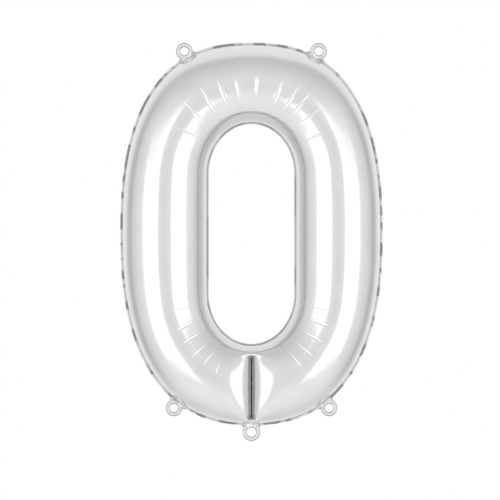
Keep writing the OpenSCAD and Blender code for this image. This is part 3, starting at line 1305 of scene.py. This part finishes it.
    def dress(self, sheet: bpy.types.Object, trees: ShapeTrees, foil: bpy.types.Material) -> None:
        """Adds the fine relief and the finish, and puts the film on the frame.

        Args:
            sheet: The plain sheet.
            trees: The geometry trees.
            foil: The film's material.
        """
        film = apply_tree(sheet, trees.film_relief, Gather_Height=0.03 * MM, Gather_Pitch=2.6 * MM,
                          Slack_Height=0.12 * MM, Slack_Length=45.0 * MM, Seed=self.seed, Material=foil)
        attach(film, ROOT)
        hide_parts(f"{self.side.name.lower()}_panel")
        area = sum(face.area for face in film.data.polygons)
        log.info("%s: %.4f m2 of film", self.name, area)


# ---------------------------------------------------------------------------
# Seals
# ---------------------------------------------------------------------------


@dataclass
class SealBand:
    """A fused band along the rim or round the window."""

    name: str
    node: str
    loop: np.ndarray
    middle_z: float
    width: float
    thickness: float = 0.34 * MM
    flutter_height: float = 0.28 * MM
    flutter_length: float = 9.0 * MM
    seed: float = 5.0

    def build(self) -> bpy.types.Object:
        """Lays the path that the band follows.

        Returns:
            A closed loop of edges.
        """
        count = len(self.loop)
        points = np.stack([self.loop[:, 0], np.zeros(count), self.loop[:, 1] + self.middle_z], axis=1)
        edges = [(n, (n + 1) % count) for n in range(count)]
        return new_mesh_object(self.name, points, [], edges)

    def dress(self, path: bpy.types.Object, trees: ShapeTrees, seal: bpy.types.Material) -> None:
        """Sweeps the band along its path and puts it on the frame.

        Args:
            path: The loop of edges.
            trees: The geometry trees.
            seal: The band's material.
        """
        band = apply_tree(path, trees.seal_band, Width=self.width, Thickness=self.thickness,
                          Flutter_Height=self.flutter_height, Flutter_Length=self.flutter_length,
                          Seed=self.seed, Material=seal)
        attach(band, ROOT)
        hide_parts(self.node)
        log.info("%s: %d faces", self.name, len(band.data.polygons))


@dataclass
class CrossWeld:
    """The upright weld below the window, pressed flat with fine upright pleats."""

    pinch: WeldPinch
    middle_z: float
    name: str = "weld_band"
    pleats: int = 2
    half_thickness: float = 0.26 * MM
    pleat_depth: float = 0.015 * MM
    overrun: float = 0.9 * MM
    end_taper: float = 3.0 * MM
    width_gain: float = 2.0

    def build(self) -> bpy.types.Object:
        """Builds the weld as a closed band.

        Returns:
            The band.
        """
        z = np.linspace(self.pinch.bottom - self.overrun, self.pinch.top + self.overrun, 90)
        share = np.linspace(-1.0, 1.0, 33)
        ends = np.clip(np.minimum(z - z[0], z[-1] - z) / self.end_taper, 0.0, 1.0)
        grid_z, grid_s = np.meshgrid(z, share, indexing="ij")
        taper = (ends ** 0.5)[:, None]
        wander = 0.12 * np.sin(z * 900.0) + 0.07 * np.sin(z * 2300.0 + 1.0)
        x = grid_s * self.pinch.strip_half * self.width_gain * (0.35 + 0.65 * taper)
        pleat = np.cos(math.pi * self.pleats * (grid_s + wander[:, None]))
        edge = np.sqrt(np.clip(1.0 - grid_s ** 2, 0.0, 1.0)) ** 0.5
        stand = (self.half_thickness + self.pleat_depth * 0.5 * (1.0 + pleat)) * edge * taper
        front = np.stack([x, -stand, grid_z + self.middle_z], axis=-1).reshape(-1, 3)
        back = front * np.array([1.0, -1.0, 1.0])
        size = len(share)
        faces = np.concatenate([
            grid_faces(len(z), size, closed=False, flip=True),
            grid_faces(len(z), size, closed=False, flip=False, first=len(front)),
        ])
        return new_mesh_object(self.name, np.concatenate([front, back]), faces)

    def dress(self, made: bpy.types.Object, seal: bpy.types.Material) -> None:
        """Finishes the weld and puts it on the frame.

        Args:
            made: The band.
            seal: The weld's material.
        """
        close_seams(made)
        made.data.materials.append(seal)
        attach(made, ROOT)
        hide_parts("cross_weld")


def close_seams(made: bpy.types.Object, gap: float = 1e-6) -> None:
    """Merges doubled points and turns the faces outwards.

    Args:
        made: A shell, or two sheets that back each other.
        gap: Distance within which points are one.
    """
    shell = bmesh.new()
    shell.from_mesh(made.data)
    bmesh.ops.remove_doubles(shell, verts=shell.verts, dist=gap)
    bmesh.ops.dissolve_degenerate(shell, edges=shell.edges, dist=gap)
    bmesh.ops.recalc_face_normals(shell, faces=shell.faces)
    if shell.calc_volume(signed=True) < 0.0:
        bmesh.ops.reverse_faces(shell, faces=shell.faces)
    shell.to_mesh(made.data)
    shell.free()
    made.data.shade_smooth()


# ---------------------------------------------------------------------------
# Tabs
# ---------------------------------------------------------------------------


@dataclass
class HangingTab:
    """A tongue of both films outside the rim, with a punched eye and pleats at its foot."""

    node: str
    foot: tuple[float, float]
    outward: tuple[float, float]
    end_radius: float = 7.25 * MM
    reach: float = 5.2 * MM
    eye_radius: float = 3.7 * MM
    foot_half: float = 9.8 * MM
    foot_drop: float = 0.75 * MM
    under: float = 1.5 * MM
    film: float = 0.11 * MM
    bead: float = 0.26 * MM
    leave_angle: float = 112.0
    pleat_heights: tuple[float, float] = (0.22 * MM, 0.12 * MM)
    pleat_lengths: tuple[float, float] = (1.35 * MM, 0.8 * MM)
    # Where the painted tuck shadow lies, sideways from the middle of the foot.
    tuck_shadow_place: float = 7.6 * MM
    fold_start: float = -0.5 * MM
    fold_end: float = 0.9 * MM
    seed: float = 1.0

    @property
    def name(self) -> str:
        """Name of the finished piece."""
        return f"{self.node}_tongue"

    def _outline(self) -> np.ndarray:
        """The tongue's outline, from its left foot corner round its end to the right one and back.

        Returns:
            Points as [along the rim, outwards] from the middle of the foot.
        """
        leave = math.radians(self.leave_angle)
        turn = np.linspace(-leave, leave, 72)
        end = np.stack([self.end_radius * np.sin(turn), self.reach + self.end_radius * np.cos(turn)], axis=1)
        t = np.linspace(0.0, 1.0, 14)[1:, None]
        start, stop = end[-1], np.array([self.foot_half, -self.foot_drop])
        knee = np.array([start[0] - 0.4 * MM, 0.15 * MM])
        flare = (1 - t) ** 2 * start + 2 * t * (1 - t) * knee + t ** 2 * stop
        toe = np.array([[self.foot_half - 0.3 * MM, -self.under * 0.8],
                        [self.foot_half - 1.2 * MM, -self.under]])
        base_x = np.linspace(self.foot_half - 1.9 * MM, -self.foot_half + 1.9 * MM, 30)
        base = np.stack([base_x, np.full(30, -self.under)], axis=1)
        right = np.concatenate([flare, toe])
        left = right[::-1] * np.array([-1.0, 1.0])
        return np.concatenate([end, right, base, left])

    def build(self) -> bpy.types.Object:
        """Builds the tongue as a front and a back sheet, each with a rolled edge round it and its eye.

        The sheets stay a fraction of a millimetre apart along their edges, so the tongue isn't closed there.

        Returns:
            The tongue.
        """
        outline = self._outline()
        centre = np.array([0.0, self.reach])
        way = outline - centre
        span = np.linalg.norm(way, axis=1, keepdims=True)
        inner = centre + way / span * self.eye_radius
        length = span[:, 0] - self.eye_radius
        edge = np.array([0.0, 0.06, 0.16, 0.3, 0.5, 0.8, 1.2]) * MM
        inward = [np.minimum(place, length / 2 * row / len(edge)) for row, place in enumerate(edge)]
        run = np.stack(inward + [length - place for place in reversed(inward)], axis=1)
        share = run / length[:, None]
        flat = inner[:, None, :] + (outline - inner)[:, None, :] * share[..., None]
        near = np.minimum(run, length[:, None] - run)
        roll = self.bead * np.sqrt(np.clip(1.0 - ((near - 0.32 * MM) / (0.34 * MM)) ** 2, 0.0, 1.0))
        stand = np.maximum(roll, self.film * np.clip(near / (0.1 * MM), 0.0, 1.0))
        foot_near = np.exp(-((flat[..., 1] - 0.2 * MM) / (2.2 * MM)) ** 2)
        (broad, fine), (broad_length, fine_length) = self.pleat_heights, self.pleat_lengths
        pleat = broad * foot_near * np.cos(flat[..., 0] / broad_length + self.seed)
        pleat += fine * foot_near * np.sin(flat[..., 0] / fine_length + 2.0 * self.seed)
        along = np.array([self.outward[1], -self.outward[0]])
        out = np.array(self.outward)
        place = flat[..., :1] * along + flat[..., 1:] * out + np.array(self.foot)
        count, deep = run.shape
        front = np.stack([place[..., 0], pleat - stand, place[..., 1]], axis=-1).reshape(-1, 3)
        back = np.stack([place[..., 0], pleat + stand, place[..., 1]], axis=-1).reshape(-1, 3)
        faces = np.concatenate([
            grid_faces(count, deep, closed=True, flip=False),
            grid_faces(count, deep, closed=True, flip=True, first=len(front)),
        ])
        made = new_mesh_object(self.name, np.concatenate([front, back]), faces)
        fold = np.tile((0.35 + 0.65 * foot_near).ravel(), 2)
        set_attribute(made.data, "fold", fold)
        # Painted shade: the rolled edges are darkened in place of their dark reflections, and a painted tuck
        # shadow lies at each end of the foot.
        rolled = np.clip(1.8 - near / (0.42 * MM), 0.0, 1.0) * smooth_step((flat[..., 1] + 0.4 * MM) / MM)
        tuck_shadow = np.exp(-((np.abs(flat[..., 0]) - self.tuck_shadow_place) / (1.5 * MM)) ** 2
                      - ((flat[..., 1] + 0.5 * MM) / (0.7 * MM)) ** 2)
        set_attribute(made.data, "painted_shade", np.tile(np.maximum(rolled, 0.9 * tuck_shadow).ravel(), 2))
        return made

    def dress(self, made: bpy.types.Object, trees: ShapeTrees, foil: bpy.types.Material) -> None:
        """Crumples the tongue and finishes it.

        Args:
            made: The tongue.
            trees: The geometry trees.
            foil: The tongue's material.
        """
        finished = apply_tree(made, trees.crumple, Fold_Height=0.35 * MM, Fold_Length=4.0 * MM,
                              Seed=self.seed, Material=foil)
        close_seams(finished)
        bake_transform(finished)
        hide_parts(self.node)
        log.info("%s: %d faces", self.name, len(finished.data.polygons))


UPPER_TAB_ANGLE = 65.8
LOWER_TAB_ANGLE = 59.8


def make_tabs(outline: NoughtOutline, foil: bpy.types.Material, trees: ShapeTrees) -> None:
    """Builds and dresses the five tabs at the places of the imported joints.

    Args:
        outline: The figure's outlines.
        foil: The tabs' material.
        trees: The geometry trees.
    """
    for number, (node, angle, sign_x, sign_z, square) in enumerate((
        ("tab_top_left", UPPER_TAB_ANGLE, -1.0, 1.0, outline.top_squareness),
        ("tab_top_right", UPPER_TAB_ANGLE, 1.0, 1.0, outline.top_squareness),
        ("tab_bottom_left", LOWER_TAB_ANGLE, -1.0, -1.0, outline.bottom_squareness),
        ("tab_bottom_right", LOWER_TAB_ANGLE, 1.0, -1.0, outline.bottom_squareness),
        ("tab_bottom_centre", 90.0, 0.0, -1.0, outline.bottom_squareness),
    )):
        lean = math.radians(angle)
        foot = np.array([[sign_x * outline.half_width * max(math.cos(lean), 0.0) ** (2 / square),
                          sign_z * outline.half_height * math.sin(lean) ** (2 / square)]])
        way = outline.rim_way(foot, np.array([square]), 0.0)[0]
        tab = HangingTab(node, (float(foot[0, 0]), float(foot[0, 1]) + outline.middle_z),
                         (float(way[0]), float(way[1])), seed=1.0 + 1.7 * number)
        if node == "tab_bottom_centre":
            tab.end_radius, tab.reach, tab.eye_radius = 7.7 * MM, 6.2 * MM, 4.15 * MM
            tab.foot_half, tab.foot_drop = 10.2 * MM, 0.45 * MM
        tab.dress(tab.build(), trees, foil)


# ---------------------------------------------------------------------------
# Studio
# ---------------------------------------------------------------------------


@dataclass(frozen=True)
class Tone:
    """One stop of the studio's walls.

    Args:
        angle: Angle from straight ahead, in degrees.
        grey: How light the wall is, as a screen grey from 0 to 255.
    """

    angle: float
    grey: float

    @property
    def light(self) -> float:
        """The grey as light, with the film's own loss made up."""
        share = self.grey / 255.0
        linear = share / 12.92 if share <= 0.04045 else ((share + 0.055) / 1.055) ** 2.4
        return linear / 0.90


@dataclass
class Studio:
    """Camera, soft surroundings and floor."""

    camera_place: tuple[float, float, float] = (-0.0013, -4.0, -0.0071)
    lens: float = 328.0
    floor_z: float = -0.55
    floor_radius: float = 3.5
    side_tones: tuple[Tone, ...] = (
        Tone(0, 219), Tone(58, 231), Tone(70, 222), Tone(94, 204), Tone(107, 183), Tone(135, 225),
        Tone(180, 234),
    )
    top_tones: tuple[Tone, ...] = (
        Tone(0, 214), Tone(16, 220), Tone(60, 209), Tone(110, 194), Tone(140, 221), Tone(180, 227),
    )
    low_tones: tuple[Tone, ...] = (
        Tone(0, 214), Tone(43, 231), Tone(73, 225), Tone(110, 209), Tone(146, 226), Tone(180, 232),
    )
    box_grey: float = 264.0
    box_azimuth: tuple[float, float, float, float] = (13.5, 20.0, 56.0, 62.5)
    box_elevation: tuple[float, float, float, float] = (-33.0, -18.0, 5.0, 20.0)
    second_grey: float = 206.0
    second_fall: float = 0.97
    second_share: float = 0.85
    upward_stretch: float = 0.45
    floor_corners: int = 96

    def build(self) -> None:
        """Makes the camera, the surroundings and the floor."""
        self._camera()
        self._surroundings()
        self._floor()
        bpy.context.scene.view_settings.view_transform = "Standard"

    def _camera(self) -> None:
        """Sets up a long lens that looks level at the front."""
        data = bpy.data.cameras.new("camera")
        data.lens = self.lens
        data.sensor_width = 36.0
        camera = bpy.data.objects.new("camera", data)
        camera.location = self.camera_place
        camera.rotation_euler = (math.pi / 2, 0.0, 0.0)
        bpy.context.scene.collection.objects.link(camera)
        bpy.context.scene.camera = camera

    @staticmethod
    def _ramp(bench: NodeBench, angle: bpy.types.NodeSocket, tones: Sequence[Tone]) -> bpy.types.NodeSocket:
        """Light of a row of tones at an angle.

        Args:
            bench: Bench of the world's tree.
            angle: Angle from straight ahead, as a share of 180 degrees.
            tones: The stops.

        Returns:
            The light.
        """
        curve = bench.add("ShaderNodeFloatCurve", {"Value": angle})
        line = curve.mapping.curves[0]
        scale = 0.5  # keeps tones above white inside the curve's square
        points = [(tone.angle / 180.0, tone.light * scale) for tone in tones]
        while len(line.points) < len(points):
            line.points.new(0.5, 0.5)
        for point, (x, y) in zip(line.points, points):
            point.location = (x, y)
            point.handle_type = "AUTO_CLAMPED"
        curve.mapping.update()
        return bench.math("DIVIDE", curve.outputs[0], scale)

    @staticmethod
    def _window(bench: NodeBench, value: bpy.types.NodeSocket,
                edges: tuple[float, float, float, float]) -> bpy.types.NodeSocket:
        """1 between the inner two edges, easing to 0 at the outer two.

        Args:
            bench: Bench of the world's tree.
            value: Angle in degrees.
            edges: The four angles, rising.

        Returns:
            The share.
        """
        rise = bench.spread(value, edges[0], edges[1], 0.0, 1.0, smooth=True)
        fall = bench.spread(value, edges[2], edges[3], 1.0, 0.0, smooth=True)
        return bench.math("MULTIPLY", rise, fall)

    def _surroundings(self) -> None:
        """Soft boxes to both sides, greys between them, and plain white behind."""
        world = bpy.data.worlds.new("soft_studio")
        world.use_nodes = True
        world.node_tree.nodes.clear()
        bench = NodeBench(world.node_tree)
        degrees = 180.0 / math.pi
        way = bench.add("ShaderNodeTexCoord").outputs["Generated"]
        part = bench.add("ShaderNodeSeparateXYZ", {0: way}).outputs
        ahead = bench.math("MULTIPLY", part[1], -1.0)
        sideways = bench.math("MAXIMUM", bench.math("ABSOLUTE", part[0]), 1e-5)
        angle = bench.math("DIVIDE", bench.math("ARCCOSINE", ahead, 0.0), math.pi)
        roll = bench.math("MULTIPLY", bench.math("ARCTAN2", part[2], sideways), degrees)
        azimuth = bench.math("MULTIPLY", bench.math("ARCTAN2", sideways, ahead), degrees)
        elevation = bench.math("MULTIPLY", bench.math("ARCSINE", part[2], 0.0), degrees)
        upward = bench.math("POWER", bench.spread(roll, 0.0, 80.0, 0.0, 1.0), 1.5)
        downward = bench.spread(roll, 0.0, -66.0, 0.0, 0.07)
        stretch = bench.math("MULTIPLY_ADD", upward, self.upward_stretch, 1.0)
        stretch = bench.math("SUBTRACT", stretch, downward)
        bent = bench.math("MINIMUM", bench.math("MULTIPLY", angle, stretch), 1.0)
        side = self._ramp(bench, bent, self.side_tones)
        top = self._ramp(bench, bent, self.top_tones)
        low = self._ramp(bench, bent, self.low_tones)
        to_top = bench.spread(roll, 12.0, 48.0, 0.0, 1.0, smooth=True)
        to_low = bench.spread(roll, -24.0, -52.0, 0.0, 1.0, smooth=True)
        light = self._blend(bench, to_top, side, top)
        light = self._blend(bench, to_low, light, low)
        box = bench.math("MULTIPLY", self._window(bench, azimuth, self.box_azimuth),
                         self._window(bench, elevation, self.box_elevation))
        light = self._blend(bench, box, light, Tone(0, self.box_grey).light)
        path = bench.add("ShaderNodeLightPath").outputs
        bounces = bench.math("SUBTRACT", path["Ray Depth"], 3.0)
        fall = bench.math("POWER", self.second_fall, bench.math("MAXIMUM", bounces, 0.0))
        again = bench.math("MULTIPLY", fall, Tone(0, self.second_grey).light)
        later = bench.math("MULTIPLY", bench.math("GREATER_THAN", bounces, -0.5), self.second_share)
        light = self._blend(bench, later, light, again)
        colour = bench.add("ShaderNodeCombineColor", {0: light, 1: light, 2: light}).outputs[0]
        glow = bench.add("ShaderNodeBackground", {"Color": colour})
        plain = bench.add("ShaderNodeBackground", {"Color": (1.0, 1.0, 1.0, 1.0)})
        seen = {0: path["Is Camera Ray"], 1: glow.outputs[0], 2: plain.outputs[0]}
        mix = bench.add("ShaderNodeMixShader", seen)
        bench.add("ShaderNodeOutputWorld", {"Surface": mix.outputs[0]})
        bpy.context.scene.world = world

    @staticmethod
    def _blend(bench: NodeBench, share: bpy.types.NodeSocket, first: object,
               second: object) -> bpy.types.NodeSocket:
        """Goes from one number to another as a share goes from 0 to 1.

        Args:
            bench: Bench of the world's tree.
            share: The share.
            first: Number or socket at 0.
            second: Number or socket at 1.

        Returns:
            The blended number.
        """
        return bench.add("ShaderNodeMix", {0: share, 2: first, 3: second}, data_type="FLOAT").outputs[0]

    def _floor(self) -> None:
        """A plain round floor below the hanging balloon."""
        turn = np.linspace(0.0, math.tau, self.floor_corners, endpoint=False)
        ring = np.stack([np.cos(turn), np.sin(turn)], axis=1) * self.floor_radius
        points = np.column_stack([ring, np.full(self.floor_corners, self.floor_z)])
        floor = new_mesh_object("floor", points, [list(range(self.floor_corners))])
        floor.data.materials.append(FloorFinish().make())
        floor.visible_glossy = False


# ---------------------------------------------------------------------------
# The balloon
# ---------------------------------------------------------------------------


def dress_valve(plastic: bpy.types.Material) -> None:
    """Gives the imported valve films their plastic.

    Args:
        plastic: The valve's material.
    """
    for node in ("valve_front_film", "valve_back_film"):
        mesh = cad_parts[node].data
        if mesh.materials:
            mesh.materials[0] = plastic
        else:
            mesh.materials.append(plastic)
        log.info("%s: finished", node)


PATH_STEP = 0.8 * MM


def main() -> None:
    """Builds the studio and the balloon, and reports each piece."""
    logging.basicConfig(level=logging.INFO, format="%(name)s: %(message)s")
    Studio().build()
    effects = SurfaceEffects()
    trees = ShapeTrees()
    foil = FoilFinish().make(effects)
    rim_finish = SealFinish().make(effects)
    window_finish = SealFinish(name="window_fused_seal", colour=(0.72, 0.72, 0.72),
                               painted_reflection_dark_colour=(0.54, 0.54, 0.54), patch_scale=40.0).make(effects)
    weld_finish = SealFinish(name="weld_fused_seal", colour=(0.72, 0.72, 0.72),
                             painted_reflection_dark_colour=(0.52, 0.52, 0.52), roughness=0.2, crimp_depth=0.000002,
                             patch_scale=30.0).make(effects)
    # The tabs get a darker painted shade colour for their rolled edges and tuck shadows.
    tab_finish = FoilFinish(name="tab_film", colour=(0.955, 0.95, 0.953),
                            dull_colour=(0.93, 0.925, 0.928), painted_shade_colour=(0.24, 0.235, 0.24),
                            roughness=0.12, dull_roughness=0.2, pleat_depth=0.0).make(effects)
    outline = NoughtOutline.of_frame()
    pinch = WeldPinch.of_frame(outline.middle_z)
    for side in Side:
        panel = FilmPanel(outline, pinch, side, seed=3.0 if side is Side.FRONT else 8.0)
        panel.dress(panel.build(), trees, foil)
    rim = SealBand("rim_seal_band", "outer_rim_seal", outline.loop(0.85 * MM, 0.0, PATH_STEP),
                   outline.middle_z, width=1.9 * MM)
    rim.dress(rim.build(), trees, rim_finish)
    window = SealBand("window_seal_band", "window_seal", outline.loop(None, 0.65 * MM, PATH_STEP),
                      outline.middle_z, width=1.5 * MM, flutter_height=0.12 * MM, seed=2.0)
    window.dress(window.build(), trees, window_finish)
    weld = CrossWeld(pinch, outline.middle_z)
    weld.dress(weld.build(), weld_finish)
    make_tabs(outline, tab_finish, trees)
    dress_valve(ValveFinish().make(effects))


if __name__ == "__main__":
    main()
